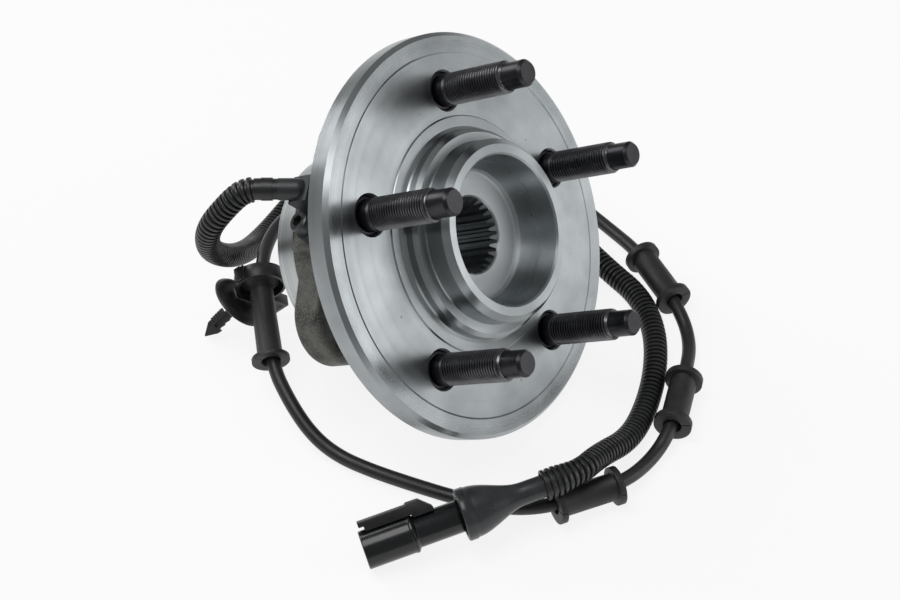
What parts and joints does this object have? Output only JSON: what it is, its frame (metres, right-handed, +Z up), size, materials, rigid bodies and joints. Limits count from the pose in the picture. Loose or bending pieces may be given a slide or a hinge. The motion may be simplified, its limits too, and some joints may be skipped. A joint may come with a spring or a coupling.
{
  "type": "wheel hub bearing",
  "caption": "Splined wheel hub flange with studs, turning in a three-eared outer ring on two rows of balls, with a speed sensor, harness, grommets and connector.",
  "frame": {"origin": "on the bench, under the middle of the hub's box without the harness", "axes": "+Z up from the bench; the hub leans back on its rim, barrel end and one ear, its wheel face towards -Y and up; +X across the hub"},
  "size_m": [0.235, 0.2193, 0.1421],
  "materials": {
    "hub_steel": "turned",
    "stud_steel": "phosphated",
    "bearing_steel": "ground",
    "tone_steel": "satin",
    "ring_iron": "forged and turned",
    "cage_nylon": "moulded",
    "seal_rubber": "matte",
    "sensor_plastic": "moulded",
    "screw_steel": "zinc",
    "cable_rubber": "satin",
    "conduit_nylon": "moulded",
    "grommet_rubber": "satin",
    "clip_nylon": "moulded",
    "boot_rubber": "satin",
    "connector_plastic": "moulded",
    "lock_plastic": "moulded",
    "terminal_brass": "tinned"
  },
  "bodies": {
    "stator": {"outer_ring": "ring_iron", "outboard_seal": "seal_rubber", "inboard_seal": "seal_rubber", "sensor_body": "sensor_plastic", "sensor_o_ring": "seal_rubber", "sensor_screw": "screw_steel", "lead_overmould": "cable_rubber", "lead_sleeve": "cable_rubber", "sensor_conduit": "conduit_nylon", "cable_sensor_end": "cable_rubber", "cable_middle": "cable_rubber", "cable_connector_end": "cable_rubber", "connector_conduit": "conduit_nylon", "grommet_1": "grommet_rubber", "grommet_2": "grommet_rubber", "grommet_3": "grommet_rubber", "clip_grommet": "grommet_rubber", "fir_tree_clip": "clip_nylon", "connector_boot": "boot_rubber", "connector_housing": "connector_plastic", "connector_lock": "lock_plastic", "connector_terminals": "terminal_brass"},
    "rotor": {"hub_flange_spindle": "hub_steel", "wheel_studs": "stud_steel", "inner_ring": "bearing_steel", "tone_ring": "tone_steel", "outboard_slinger": "bearing_steel", "inboard_slinger": "bearing_steel"},
    "outboard_ball_set": {"outboard_cage": "cage_nylon", "outboard_balls": "bearing_steel"},
    "inboard_ball_set": {"inboard_cage": "cage_nylon", "inboard_balls": "bearing_steel"}
  },
  "joints": [
    {"name": "hub_spin", "type": "hinge", "parent": "stator", "child": "rotor", "pos_m": [0, -0.00618, 0.07222], "axis": [0, -0.8404, 0.542], "continuous": true},
    {"name": "outboard_ball_spin", "type": "hinge", "parent": "stator", "child": "outboard_ball_set", "pos_m": [0, 0.01903, 0.05595], "axis": [0, -0.8404, 0.542], "continuous": true},
    {"name": "inboard_ball_spin", "type": "hinge", "parent": "stator", "child": "inboard_ball_set", "pos_m": [0, 0.04172, 0.04132], "axis": [0, -0.8404, 0.542], "continuous": true}
  ],
  "couplings": [
    {"joint": "outboard_ball_spin", "follows": "hub_spin", "ratio": 0.415},
    {"joint": "inboard_ball_spin", "follows": "hub_spin", "ratio": 0.415}
  ]
}
